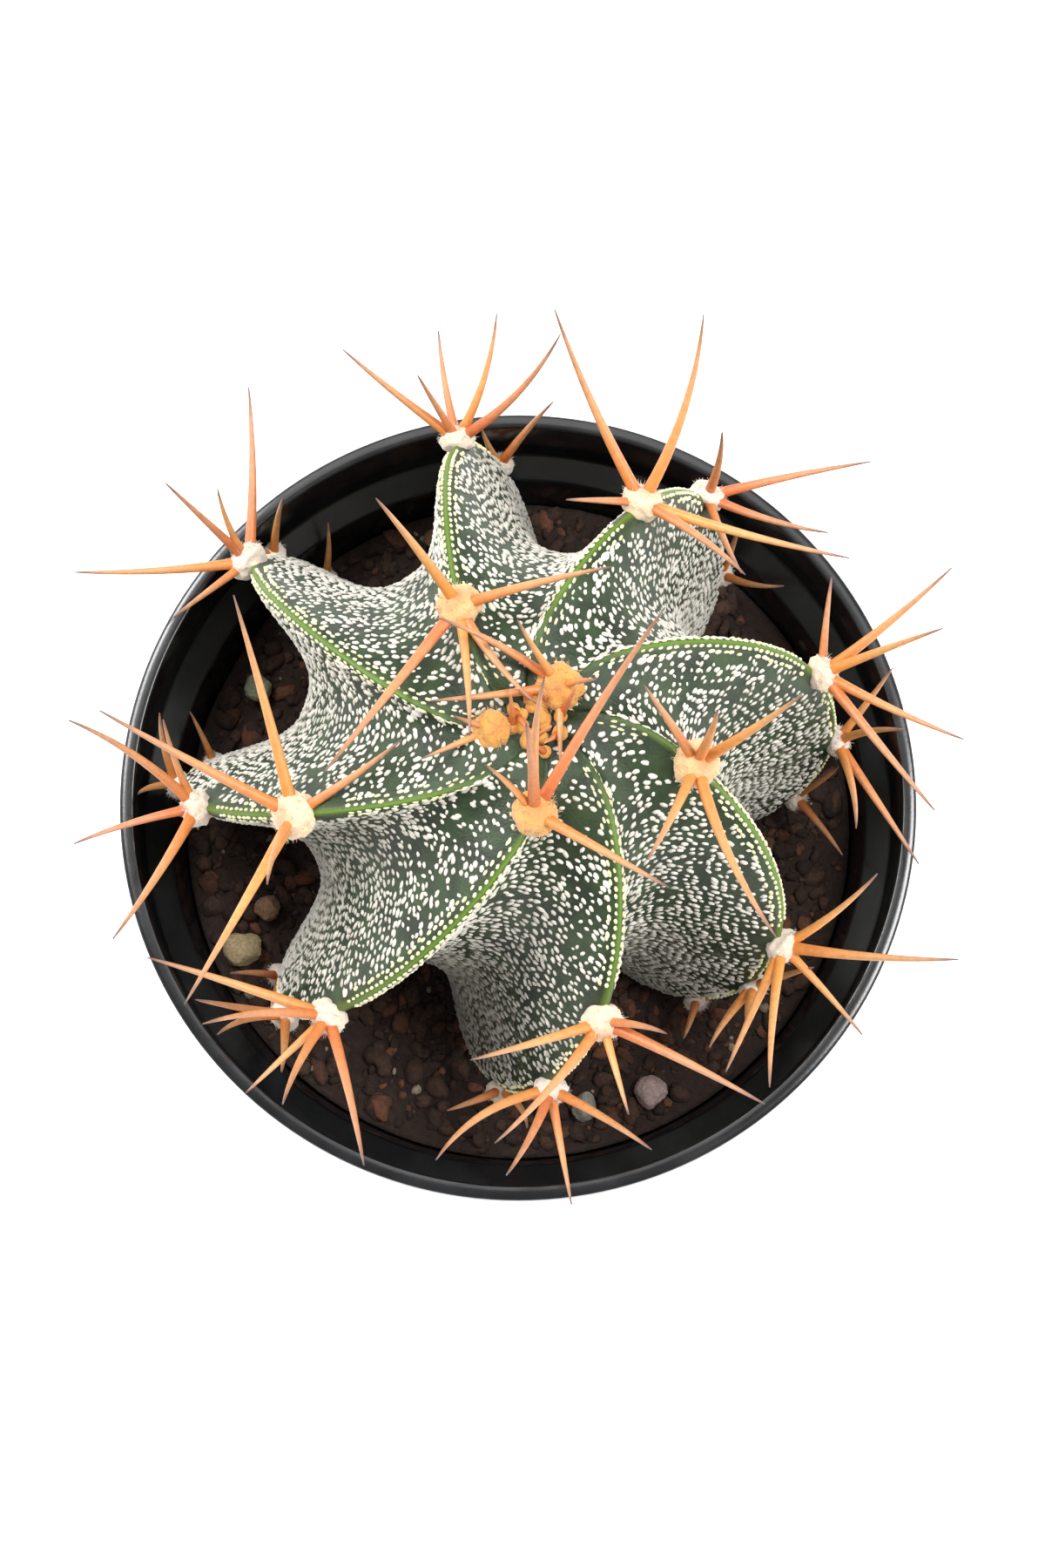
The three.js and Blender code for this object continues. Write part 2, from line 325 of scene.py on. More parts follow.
def grain_shape(detail: int) -> bmesh.types.BMesh:
    """A small ball of radius 1 for grains: 20 faces at detail 1 and 80 at detail 2."""
    shape = bmesh.new()
    bmesh.ops.create_icosphere(shape, subdivisions=detail, radius=1)
    return shape


def rod_shape(sides: int, steps: int) -> bmesh.types.BMesh:
    """A rod of radius 1 from height 0 to 1, cut across in equal steps.

    Args:
        sides: The number of its sides.
        steps: The number of rings of faces along it.

    Returns:
        The closed rod.
    """
    shape = bmesh.new()
    bmesh.ops.create_cone(
        shape, cap_ends=True, cap_tris=True, segments=sides, radius1=1, radius2=1, depth=1,
        matrix=Matrix.Translation((0, 0, 0.5)),
    )
    upright = [e for e in shape.edges if abs(e.verts[0].co.z - e.verts[1].co.z) > 0.5]
    bmesh.ops.subdivide_edges(shape, edges=upright, cuts=steps - 1)
    return shape


# --- Finishes ------------------------------------------------------------------------


@dataclass(frozen=True)
class MouldedPlastic:
    """Black polypropylene, injection moulded in a polished tool: a satin black skin."""

    colour: str = "0b0c0e"
    scuffed: str = "1a1b1d"
    roughness: float = 0.14
    dust_patch: float = 6 * MM
    flow_grain: float = 0.5 * MM

    def make(self) -> bpy.types.Material:
        """Builds the material: even black, faint dust and scuffs, and a fine skin grain."""
        material, shader = new_material("black_moulded_polypropylene")
        shader.inputs["IOR"].default_value = 1.49
        place = add_node(material, "ShaderNodeTexCoord").outputs["Object"]
        dust = add_node(
            material, "ShaderNodeTexNoise",
            {"Vector": place, "Scale": 1 / self.dust_patch, "Detail": 6.0},
        )
        worn = add_node(
            material, "ShaderNodeValToRGB", {"Fac": dust.outputs["Fac"]},
            stops={0.45: self.colour, 0.72: self.scuffed},
        )
        link(material, worn.outputs["Color"], shader, "Base Color")
        rough = add_node(
            material, "ShaderNodeMapRange",
            {"Value": dust.outputs["Fac"], "To Min": self.roughness, "To Max": self.roughness + 0.1},
        )
        link(material, rough.outputs["Result"], shader, "Roughness")
        grain = add_node(
            material, "ShaderNodeTexNoise",
            {"Vector": place, "Scale": 1 / self.flow_grain, "Detail": 2.0},
        )
        bump = add_node(
            material, "ShaderNodeBump",
            {"Height": grain.outputs["Fac"], "Strength": 0.06, "Distance": 0.1 * MM},
        )
        link(material, bump.outputs["Normal"], shader, "Normal")
        return material


@dataclass(frozen=True)
class CactusSkin:
    """Waxy cactus skin: dark green flanks, an olive crest line, and grey felt low down."""

    flank_dark: str = "1a2616"
    flank_light: str = "324427"
    crest: str = "5c7826"
    felt: str = "a5a294"
    cell: float = 0.35 * MM
    mottle: float = 4 * MM
    felt_curl: float = 0.75 * MM

    def make(self) -> bpy.types.Material:
        """Builds the material from the skin's crest and felt attributes."""
        material, shader = new_material("waxy_cactus_skin")
        shader.inputs["IOR"].default_value = 1.42
        shader.inputs["Roughness"].default_value = 0.5
        place = add_node(material, "ShaderNodeTexCoord").outputs["Object"]
        mottle = add_node(
            material, "ShaderNodeTexNoise",
            {"Vector": place, "Scale": 1 / self.mottle, "Detail": 4.0},
        )
        flank = add_node(
            material, "ShaderNodeValToRGB", {"Fac": mottle.outputs["Fac"]},
            stops={0.35: self.flank_dark, 0.7: self.flank_light},
        )
        crest = add_node(material, "ShaderNodeAttribute", attribute_name="crest").outputs["Fac"]
        green = add_node(
            material, "ShaderNodeMix", {0: crest, 6: flank.outputs["Color"], 7: linear(self.crest)},
            data_type="RGBA",
        )
        felt = add_node(material, "ShaderNodeAttribute", attribute_name="felt").outputs["Fac"]
        curl = add_node(
            material, "ShaderNodeTexNoise",
            {"Vector": place, "Scale": 1 / self.felt_curl, "Detail": 3.0, "Distortion": 1.2},
        )
        cover = add_node(
            material, "ShaderNodeMath", {0: curl.outputs["Fac"], 1: felt},
            operation="ADD",
        )
        patch = add_node(
            material, "ShaderNodeMapRange",
            {"Value": cover.outputs["Value"], "From Min": 0.98, "From Max": 1.22},
        )
        whole = add_node(
            material, "ShaderNodeMix",
            {0: patch.outputs["Result"], 6: green.outputs[2], 7: linear(self.felt)},
            data_type="RGBA",
        )
        link(material, whole.outputs[2], shader, "Base Color")
        cells = add_node(material, "ShaderNodeTexVoronoi", {"Vector": place, "Scale": 1 / self.cell})
        relief = add_node(
            material, "ShaderNodeMath",
            {0: cells.outputs["Distance"], 1: patch.outputs["Result"]},
            operation="ADD",
        )
        bump = add_node(
            material, "ShaderNodeBump",
            {"Height": relief.outputs["Value"], "Strength": 0.35, "Distance": 0.12 * MM},
        )
        link(material, bump.outputs["Normal"], shader, "Normal")
        return material


@dataclass(frozen=True)
class FeltFleck:
    """Tufts of matted plant hair: dry, dull, and from clean white to a darker grey end colour."""

    name: str
    clean: str
    # The darker end colour. For the stem's felt flecks it is their colour in shade, so it paints shade as
    # well as old felt.
    old: str
    hair: float = 0.12 * MM

    def make(self) -> bpy.types.Material:
        """Builds the material: each tuft's tint between the two end colours, and matted hair as a fine
        bump.
        """
        material, shader = new_material(self.name)
        shader.inputs["Roughness"].default_value = 0.9
        shader.inputs["Sheen Weight"].default_value = 0.3
        place = add_node(material, "ShaderNodeTexCoord").outputs["Object"]
        tint = add_node(material, "ShaderNodeAttribute", attribute_name="tint").outputs["Fac"]
        colour = add_node(
            material, "ShaderNodeValToRGB", {"Fac": tint},
            stops={0.0: self.old, 1.0: self.clean},
        )
        link(material, colour.outputs["Color"], shader, "Base Color")
        hair = add_node(
            material, "ShaderNodeTexNoise",
            {"Vector": place, "Scale": 1 / self.hair, "Detail": 2.0},
        )
        bump = add_node(
            material, "ShaderNodeBump",
            {"Height": hair.outputs["Fac"], "Strength": 0.5, "Distance": 0.08 * MM},
        )
        link(material, bump.outputs["Normal"], shader, "Normal")
        return material


@dataclass(frozen=True)
class AreoleWool:
    """Cream plant wool, golden where it is newest at the crown and pink near the spines."""

    golden: str = "cf9440"
    cream: str = "dcc09a"
    white: str = "d8cabb"
    flush: str = "c07048"
    lock: float = 0.7 * MM

    def make(self) -> bpy.types.Material:
        """Builds the material from the wool's tint (age) and flush (nearness to spines)."""
        material, shader = new_material("areole_wool")
        shader.inputs["Roughness"].default_value = 0.85
        shader.inputs["Sheen Weight"].default_value = 0.4
        shader.inputs["Subsurface Weight"].default_value = 0.15
        shader.inputs["Subsurface Scale"].default_value = 0.6 * MM
        place = add_node(material, "ShaderNodeTexCoord").outputs["Object"]
        age = add_node(material, "ShaderNodeAttribute", attribute_name="tint").outputs["Fac"]
        colour = add_node(
            material, "ShaderNodeValToRGB", {"Fac": age},
            stops={0.0: self.golden, 0.35: self.cream, 1.0: self.white},
        )
        flush = add_node(material, "ShaderNodeAttribute", attribute_name="flush").outputs["Fac"]
        whole = add_node(
            material, "ShaderNodeMix", {0: flush, 6: colour.outputs["Color"], 7: linear(self.flush)},
            data_type="RGBA",
        )
        link(material, whole.outputs[2], shader, "Base Color")
        locks = add_node(
            material, "ShaderNodeTexNoise",
            {"Vector": place, "Scale": 1 / self.lock, "Detail": 5.0, "Distortion": 0.8},
        )
        bump = add_node(
            material, "ShaderNodeBump",
            {"Height": locks.outputs["Fac"], "Strength": 0.7, "Distance": 0.3 * MM},
        )
        link(material, bump.outputs["Normal"], shader, "Normal")
        return material


@dataclass(frozen=True)
class SpineHorn:
    """Hard, horny cactus spine: orange at the root, tan along, and grey-brown at the tip."""

    growth_ring: float = 0.8 * MM

    def make(self) -> bpy.types.Material:
        """Builds the material from the spine's along (root to tip) and tint attributes."""
        material, shader = new_material("horny_cactus_spine")
        shader.inputs["IOR"].default_value = 1.54
        shader.inputs["Roughness"].default_value = 0.42
        shader.inputs["Subsurface Weight"].default_value = 0.1
        shader.inputs["Subsurface Scale"].default_value = 0.5 * MM
        along = add_node(material, "ShaderNodeAttribute", attribute_name="along").outputs["Fac"]
        yellow = add_node(
            material, "ShaderNodeValToRGB", {"Fac": along},
            stops={
                0.0: "c8702c", 0.12: "d68a3e", 0.5: "cf965a",
                0.82: "bb895e", 0.95: "85604c", 1.0: "5a4640",
            },
        )
        red = add_node(
            material, "ShaderNodeValToRGB", {"Fac": along},
            stops={
                0.0: "a84524", 0.12: "bd6234", 0.5: "c0805a",
                0.82: "ab7a5c", 0.95: "7a5648", 1.0: "544039",
            },
        )
        tint = add_node(material, "ShaderNodeAttribute", attribute_name="tint").outputs["Fac"]
        colour = add_node(
            material, "ShaderNodeMix",
            {0: tint, 6: yellow.outputs["Color"], 7: red.outputs["Color"]},
            data_type="RGBA",
        )
        place = add_node(material, "ShaderNodeTexCoord").outputs["Object"]
        streak = add_node(
            material, "ShaderNodeTexNoise",
            {"Vector": place, "Scale": 1 / self.growth_ring, "Detail": 4.0},
        )
        shade = add_node(
            material, "ShaderNodeMapRange",
            {
                "Value": streak.outputs["Fac"],
                "From Min": 0.3, "From Max": 0.7, "To Min": 0.86, "To Max": 1.1,
            },
        )
        toned = add_node(
            material, "ShaderNodeHueSaturation",
            {"Value": shade.outputs["Result"], "Color": colour.outputs[2]},
        )
        link(material, toned.outputs["Color"], shader, "Base Color")
        bump = add_node(
            material, "ShaderNodeBump",
            {"Height": streak.outputs["Fac"], "Strength": 0.4, "Distance": 0.15 * MM},
        )
        link(material, bump.outputs["Normal"], shader, "Normal")
        return material


@dataclass(frozen=True)
class GroundMix:
    """A piece of potting mix or stone: dull, pitted, and from a dark to a light shade."""

    name: str
    dark: str
    light: str
    grit: float = 0.5 * MM
    relief: float = 0.25 * MM
    roughness: float = 0.92

    def make(self) -> bpy.types.Material:
        """Builds the material: shades by grain and by tint, with pits as a bump."""
        material, shader = new_material(self.name)
        shader.inputs["Roughness"].default_value = self.roughness
        place = add_node(material, "ShaderNodeTexCoord").outputs["Object"]
        grit = add_node(
            material, "ShaderNodeTexNoise",
            {"Vector": place, "Scale": 1 / self.grit, "Detail": 6.0},
        )
        tint = add_node(material, "ShaderNodeAttribute", attribute_name="tint").outputs["Fac"]
        both = add_node(
            material, "ShaderNodeMath", {0: grit.outputs["Fac"], 1: tint}, operation="MULTIPLY",
        )
        colour = add_node(
            material, "ShaderNodeValToRGB", {"Fac": both.outputs["Value"]},
            stops={0.0: self.dark, 0.6: self.light},
        )
        link(material, colour.outputs["Color"], shader, "Base Color")
        bump = add_node(
            material, "ShaderNodeBump",
            {"Height": grit.outputs["Fac"], "Strength": 0.8, "Distance": self.relief},
        )
        link(material, bump.outputs["Normal"], shader, "Normal")
        return material


@dataclass(frozen=True)
class WhiteTable:
    """Matt white laminate under strong light, so that it shows as clean white."""

    def make(self) -> bpy.types.Material:
        """Builds the material."""
        material, shader = new_material("white_laminate_table")
        shader.inputs["Base Color"].default_value = linear("f4f4f3")
        shader.inputs["Roughness"].default_value = 0.8
        shader.inputs["Emission Color"].default_value = (1, 1, 1, 1)
        shader.inputs["Emission Strength"].default_value = 0.55
        return material


# --- Pot -----------------------------------------------------------------------------


@dataclass
class NurseryPot:
    """A thin moulded pot: tapered wall, stepped collar with a ledge, lip and drain holes."""

    rim_height: float = 88 * MM
    rim_radius: float = 51 * MM
    lip_width: float = 1.9 * MM
    lip_depth: float = 3.6 * MM
    collar_radius: float = 50.2 * MM
    collar_bottom: float = 74.5 * MM
    collar_step: float = 3.6 * MM
    ledge_rise: float = 1.0 * MM
    foot_radius: float = 36 * MM
    wall: float = 1.0 * MM
    floor: float = 1.6 * MM
    drain_holes: int = 6
    drain_hole_radius: float = 4 * MM
    drain_circle_radius: float = 22 * MM
    edge_round: float = 0.45 * MM
    steps: int = 180

    def outer_radius(self, height: float) -> float:
        """The wall's outer radius at a height below the collar."""
        taper = (self.collar_radius - self.collar_step - self.foot_radius) / self.collar_bottom
        return self.foot_radius + taper * height

    def inner_radius(self, height: float) -> float:
        """The wall's inner radius at a height below the collar."""
        return self.outer_radius(height) - self.wall

    def profile(self) -> list[tuple[float, float]]:
        """The wall's section as radius and height, from under the floor round to above it."""
        rim, lip_foot = self.rim_height, self.rim_height - self.lip_depth
        collar_inner = self.rim_radius - self.lip_width
        return [
            (0, 0),
            (self.foot_radius, 0),
            (self.outer_radius(self.collar_bottom - 1.4 * MM), self.collar_bottom - 1.4 * MM),
            (self.collar_radius - 0.4 * MM, self.collar_bottom),
            (self.collar_radius, lip_foot - 0.8 * MM),
            (self.rim_radius, lip_foot),
            (self.rim_radius, rim),
            (collar_inner, rim),
            (collar_inner, self.collar_bottom + self.ledge_rise),
            (self.inner_radius(self.collar_bottom), self.collar_bottom),
            (self.inner_radius(self.floor), self.floor),
            (0, self.floor),
        ]

    def build(self) -> bpy.types.Object:
        """Turns the section to a pot, cuts the drain holes and rounds the edges."""
        shape = bmesh.new()
        corners = [shape.verts.new((radius, 0, height)) for radius, height in self.profile()]
        outline = [shape.edges.new(pair) for pair in zip(corners, corners[1:])]
        bmesh.ops.spin(
            shape, geom=corners + outline, cent=(0, 0, 0), axis=(0, 0, 1),
            angle=2 * math.pi, steps=self.steps, use_merge=True,
        )
        bmesh.ops.remove_doubles(shape, verts=shape.verts, dist=1e-6)
        bmesh.ops.recalc_face_normals(shape, faces=shape.faces)
        sharp = [e for e in shape.edges if e.is_manifold and e.calc_face_angle() > math.radians(25)]
        bmesh.ops.bevel(
            shape, geom=sharp, offset=self.edge_round, offset_type="OFFSET", affect="EDGES",
            segments=3, profile=0.5, material=-1,
        )
        pot = self.drilled(mesh_of(shape, "pot_turned"))
        return finished_piece("pot_shell", pot, MouldedPlastic().make(), ["nursery_pot"])

    def drilled(self, whole: bpy.types.Mesh) -> bpy.types.Mesh:
        """Cuts the ring of drain holes through the floor.

        Args:
            whole: The turned pot, which is used up.

        Returns:
            The pot's mesh with its holes.
        """
        drills = bmesh.new()
        for i in range(self.drain_holes):
            angle = 2 * math.pi * i / self.drain_holes
            x, y = (self.drain_circle_radius * part for part in (math.cos(angle), math.sin(angle)))
            bmesh.ops.create_cone(
                drills, cap_ends=True, segments=48, radius1=self.drain_hole_radius,
                radius2=self.drain_hole_radius, depth=4 * self.floor, matrix=Matrix.Translation((x, y, 0)),
            )
        scene = bpy.context.scene.collection.objects
        blank = bpy.data.objects.new("pot_blank", whole)
        cutter = bpy.data.objects.new("pot_drills", mesh_of(drills, "pot_drills", smooth=False))
        scene.link(blank)
        scene.link(cutter)
        cut = blank.modifiers.new("drain_holes", "BOOLEAN")
        cut.object = cutter
        cut.operation = "DIFFERENCE"
        cut.solver = "EXACT"
        ready = blank.evaluated_get(bpy.context.evaluated_depsgraph_get())
        mesh = bpy.data.meshes.new_from_object(ready)
        mesh.name = "pot_shell"
        mesh.set_sharp_from_angle(angle=math.radians(18))
        bpy.data.objects.remove(blank)
        bpy.data.objects.remove(cutter)
        return mesh


# --- Stem ----------------------------------------------------------------------------


@dataclass(frozen=True)
class StemForm:
    """The stem's form: sharp ribs that turn on their way down from the crown."""

    rib_count: int = 8
    widest_height: float = 88 * MM
    crest_reach: float = 42 * MM
    valley_share: float = 0.64
    upper_height: float = 40 * MM
    lower_height: float = 32 * MM
    upper_fullness: float = 0.76
    lower_fullness: float = 0.92
    soil_meridian: float = 131.0
    buried_span: float = 28.76
    root_depth: float = 24 * MM
    crown_hollow: float = 3 * MM
    crown_hollow_reach: float = 14.0
    flank_shape: float = 3.7
    crest_softness: float = 0.15
    first_rib_bearing: float = 120.0
    crown_swirl: float = 37.0
    crown_swirl_reach: float = 11.7
    body_swirl: float = 0.285
    base: tuple[float, float] = (-2.5 * MM, 4.8 * MM)
    lean: tuple[float, float] = (5.0 * MM, -2.15 * MM)
    lean_start: float = 20 * MM
    lean_height: float = 60 * MM
    lean_limit: float = 1.1
    lean_curve: float = 1.5
    taper_curve: float = 0.8
    inside_height: float = 60 * MM

    def bearing(self, turn: np.ndarray, meridian: np.ndarray) -> np.ndarray:
        """The compass-like angle, in radians from +X, of a turn at a meridian angle."""
        swirl = self.crown_swirl * np.exp(-meridian / self.crown_swirl_reach) - self.body_swirl * meridian
        return np.radians(self.first_rib_bearing - 360 / self.rib_count * turn + swirl)

    def crest_radius(self, meridian: np.ndarray) -> np.ndarray:
        """How far the crests stand out from the stem's axis."""
        fullness = np.where(meridian < 90, self.upper_fullness, self.lower_fullness)
        sine = np.sin(np.radians(np.clip(meridian, 0.001, self.soil_meridian)))
        return self.crest_reach * sine ** fullness

    def depth(self, away: np.ndarray) -> np.ndarray:
        """How far a flank has sunk, from 0 on the crest to 1 in the valley."""
        rounded = np.sqrt(away ** 2 + self.crest_softness ** 2) - self.crest_softness
        return 1 - (1 - np.minimum(rounded, 1)) ** self.flank_shape

    def flank_path(self) -> tuple[np.ndarray, np.ndarray]:
        """Shares of the way to the valley, and the skin's length to each at a crest radius of 1."""
        away = np.linspace(0, 1, 201)
        radius = 1 - self.depth(away) * (1 - self.valley_share)
        angle = away * math.pi / self.rib_count
        points = np.column_stack([radius * np.cos(angle), radius * np.sin(angle)])
        steps = np.linalg.norm(np.diff(points, axis=0), axis=1)
        return away, np.concatenate([[0], np.cumsum(steps)])

    def flank_width(self, meridian: np.ndarray) -> np.ndarray:
        """The distance over a flank from its crest to the valley."""
        return self.crest_radius(meridian) * self.flank_path()[1][-1]

    def from_crest(self, turn: np.ndarray, meridian: np.ndarray) -> np.ndarray:
        """The distance over the skin from each place to its crest."""
        away, path = self.flank_path()
        return np.interp(np.abs(turn - np.round(turn)) * 2, away, path) * self.crest_radius(meridian)

    def turn_at(self, rib: np.ndarray, signed: np.ndarray, meridian: np.ndarray) -> np.ndarray:
        """The turns that lie at signed distances over the skin from a rib's crest."""
        away, path = self.flank_path()
        share = np.interp(np.abs(signed) / self.crest_radius(meridian), path, away)
        return rib + np.sign(signed) * share / 2

    def place(self, turn: np.ndarray, meridian: np.ndarray) -> np.ndarray:
        """Points of the stem's skin.

        Args:
            turn: Ribs round the stem, whole on each crest.
            meridian: Meridian angles, which go on past the soil into the buried taper.

        Returns:
            The points, one in each row.
        """
        depth = self.depth(np.abs(turn - np.round(turn)) * 2)
        buried = np.clip((meridian - self.soil_meridian) / self.buried_span, 0, 1)
        taper = np.cos(buried * math.pi / 2) ** self.taper_curve
        radius = self.crest_radius(meridian) * taper * (1 - depth * (1 - self.valley_share))
        shown = np.minimum(meridian, self.soil_meridian)
        reach = np.where(shown < 90, self.upper_height, self.lower_height)
        hollow = self.crown_hollow * np.clip(1 - shown / self.crown_hollow_reach, 0, 1) ** 2
        height = self.widest_height + reach * np.cos(np.radians(shown)) - hollow
        height = height - self.root_depth * np.sin(buried * math.pi / 2)
        risen = (height - self.widest_height + self.lean_start) / self.lean_height
        risen = np.clip(risen, 0, self.lean_limit) ** self.lean_curve
        angle = self.bearing(turn, shown)
        return np.stack([
            self.base[0] + self.lean[0] * risen + radius * np.cos(angle),
            self.base[1] + self.lean[1] * risen + radius * np.sin(angle),
            height,
        ], axis=-1)

    def frames(self, turn: np.ndarray, meridian: np.ndarray) -> tuple[np.ndarray, np.ndarray, np.ndarray]:
        """The skin's directions at each point.

        Args:
            turn: Ribs round the stem.
            meridian: Meridian angles.

        Returns:
            Unit vectors over the flank away from the crest, down the stem, and outwards.
        """
        side = np.sign(turn - np.round(turn))
        across = self.place(turn + 0.01, meridian) - self.place(turn - 0.01, meridian)
        down = unit(self.place(turn, meridian + 0.5) - self.place(turn, meridian - 0.5))
        outward = unit(np.cross(down, across))
        from_inside = self.place(turn, meridian) - [0, 0, self.inside_height]
        outward *= np.sign(np.einsum("ij,ij->i", outward, from_inside))[:, None]
        return unit(across) * side[:, None], down, outward


@dataclass(frozen=True)
class Areole:
    """A woolly cushion on a crest: its meridian angle, its size and its spines.

    Each spine is its bearing, its lift above level, and its length in millimetres.
    """

    meridian: float
    size: float
    spines: tuple[tuple[float, float, float], ...]


# The areoles of each rib in order from the crown down.
RIBS = (
    (
        Areole(17, 1.15, ((140, 55, 24), (5, 35, 22), (235, 12, 28), (275, 20, 18), (305, 15, 17))),
        Areole(69, 0.95, ((150, 30, 20), (135, 55, 14), (70, 30, 17), (35, 40, 22), (100, 5, 14))),
        Areole(103, 0.8, ((165, 78, 16), (30, 62, 18))),
    ),
    (
        Areole(42, 1.1, ((120, 35, 28), (70, 35, 25), (315, 30, 20), (340, 15, 27), (190, 35, 12))),
        Areole(76, 1.0, ((75, 75, 18), (10, 5, 21), (335, 25, 18), (285, 40, 18))),
        Areole(110, 0.8, ((330, 45, 14), (60, 70, 14))),
    ),
    (
        Areole(3.5, 1.25, ((155, 22, 17), (130, 50, 12), (190, 12, 16), (345, 65, 10), (270, 8, 10))),
        Areole(60, 1.0, ((35, 35, 22), (10, 42, 20), (330, 15, 20), (305, 10, 23), (85, 20, 12))),
        Areole(90, 0.9, ((350, 62, 16), (300, 15, 20), (275, 40, 18), (50, 40, 14))),
        Areole(115, 0.8, ((300, 35, 14), (20, 60, 13))),
    ),
    (
        Areole(21, 1.25, ((140, 60, 20), (60, 75, 20), (20, 55, 24), (245, 35, 20), (290, 25, 27))),
        Areole(74, 1.0, ((350, 35, 25), (262, 32, 22), (245, 22, 20), (35, 30, 16), (310, 10, 15))),
        Areole(94, 0.85, ((235, 45, 18), (255, 60, 18), (5, 62, 17))),
        Areole(116, 0.8, ((250, 55, 13), (20, 45, 10))),
    ),
    (
        Areole(53, 1.1, ((200, 30, 20), (230, 25, 22), (340, 50, 14), (330, 25, 24), (285, 10, 12))),
        Areole(81, 0.95, ((215, 35, 22), (245, 50, 20), (325, 40, 20), (280, 8, 15))),
        Areole(106, 0.8, ((210, 60, 16), (300, 60, 15))),
    ),
    (
        Areole(10, 1.2, ((325, 32, 22), (85, 60, 26), (55, 28, 30), (100, 68, 24), (145, 55, 12))),
        Areole(69, 1.05, ((165, 25, 25), (190, 40, 20), (250, 45, 20), (285, 35, 24), (225, 8, 14))),
        Areole(92, 0.9, ((180, 60, 20), (210, 60, 18), (275, 55, 18))),
        Areole(116, 0.8, ((190, 60, 13), (265, 60, 13))),
    ),
    (
        Areole(39, 1.25, ((105, 32, 29), (155, 25, 27), (245, 25, 30), (258, 48, 16), (30, 25, 17))),
        Areole(68, 1.0, ((150, 40, 22), (245, 32, 24), (110, 35, 13), (200, 12, 16))),
        Areole(97, 0.8, ((100, 60, 14), (225, 62, 14))),
        Areole(118, 0.8, ((115, 48, 10), (225, 48, 10))),
    ),
    (
        Areole(4, 1.0, ((205, 8, 9), (170, 40, 6))),
        Areole(77, 1.1, ((90, 10, 22), (145, 48, 18), (115, 50, 12), (185, 5, 22), (225, 22, 14))),
        Areole(101, 0.8, ((60, 68, 16), (200, 66, 14))),
        Areole(122, 0.8, ((80, 62, 12), (180, 62, 12))),
    ),
)


